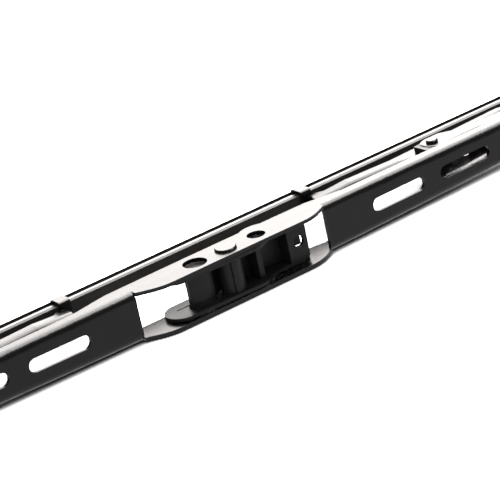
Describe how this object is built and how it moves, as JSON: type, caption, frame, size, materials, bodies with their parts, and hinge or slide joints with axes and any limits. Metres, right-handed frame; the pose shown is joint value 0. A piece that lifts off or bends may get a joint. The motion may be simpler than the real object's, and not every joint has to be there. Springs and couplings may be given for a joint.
{
  "type": "windscreen wiper blade",
  "caption": "Windscreen wiper blade with a pressed steel bridge, pivoting claw levers, a rubber squeegee on spring rails and a plastic adapter for the arm's hook.",
  "frame": {"origin": "middle of the arm pin's axis, which is also the middle of the blade's length and width", "axes": "+X along the blade, +Y from the bridge towards the rubber's wiping edge, +Z across the blade and up as it lies on its side"},
  "size_m": [0.43, 0.0325, 0.0145],
  "materials": {
    "black_paint": "satin",
    "black_steel": "satin",
    "spring_steel": "bright",
    "black_rubber": "matte",
    "black_plastic": "satin"
  },
  "bodies": {
    "bridge": {"main_bridge": "black_paint", "arm_pin": "black_steel", "main_rivet_left": "black_steel", "main_rivet_right": "black_steel"},
    "adapter": {"hook_adapter": "black_plastic"},
    "wiping_element": {"rubber_squeegee": "black_rubber", "rail_upper": "spring_steel", "rail_lower": "spring_steel"},
    "side_right": {"side_lever_right": "black_paint", "claw_rivet_right": "black_steel", "main_bush_right": "black_plastic"},
    "side_left": {"side_lever_left": "black_paint", "claw_rivet_left": "black_steel", "main_bush_left": "black_plastic"},
    "claw_right": {"claw_lever_right": "black_paint", "claw_bush_right": "black_plastic"},
    "claw_left": {"claw_lever_left": "black_paint", "claw_bush_left": "black_plastic"}
  },
  "joints": [
    {"name": "adapter_swing", "type": "hinge", "parent": "bridge", "child": "adapter", "pos_m": [0, 0, 0], "axis": [0, 0, 1], "range_deg": [-20, 20]},
    {"name": "wiper_flex", "type": "slide", "parent": "bridge", "child": "wiping_element", "axis": [0, 1, 0], "range_m": [-0.0045, 0.0045], "stiffness_N_per_m": 340, "deforming": ["rubber_squeegee", "rail_upper", "rail_lower"]},
    {"name": "side_right_pivot", "type": "hinge", "parent": "bridge", "child": "side_right", "pos_m": [0.1158, 0.0076, 0], "axis": [0, 0, 1], "range_deg": [-4.2, 4.2]},
    {"name": "side_left_pivot", "type": "hinge", "parent": "bridge", "child": "side_left", "pos_m": [-0.1158, 0.0076, 0], "axis": [0, 0, 1], "range_deg": [-4.2, 4.2]},
    {"name": "claw_right_pivot", "type": "hinge", "parent": "side_right", "child": "claw_right", "pos_m": [0.0772, 0.011, 0], "axis": [0, 0, 1], "range_deg": [-1.7, 1.7]},
    {"name": "claw_left_pivot", "type": "hinge", "parent": "side_left", "child": "claw_left", "pos_m": [-0.0772, 0.011, 0], "axis": [0, 0, 1], "range_deg": [-1.7, 1.7]}
  ],
  "couplings": [
    {"joint": "side_right_pivot", "follows": "wiper_flex", "rad_per_m": -16.192},
    {"joint": "side_left_pivot", "follows": "wiper_flex", "rad_per_m": 16.192},
    {"joint": "claw_right_pivot", "follows": "wiper_flex", "rad_per_m": 6.4767},
    {"joint": "claw_left_pivot", "follows": "wiper_flex", "rad_per_m": -6.4767}
  ]
}
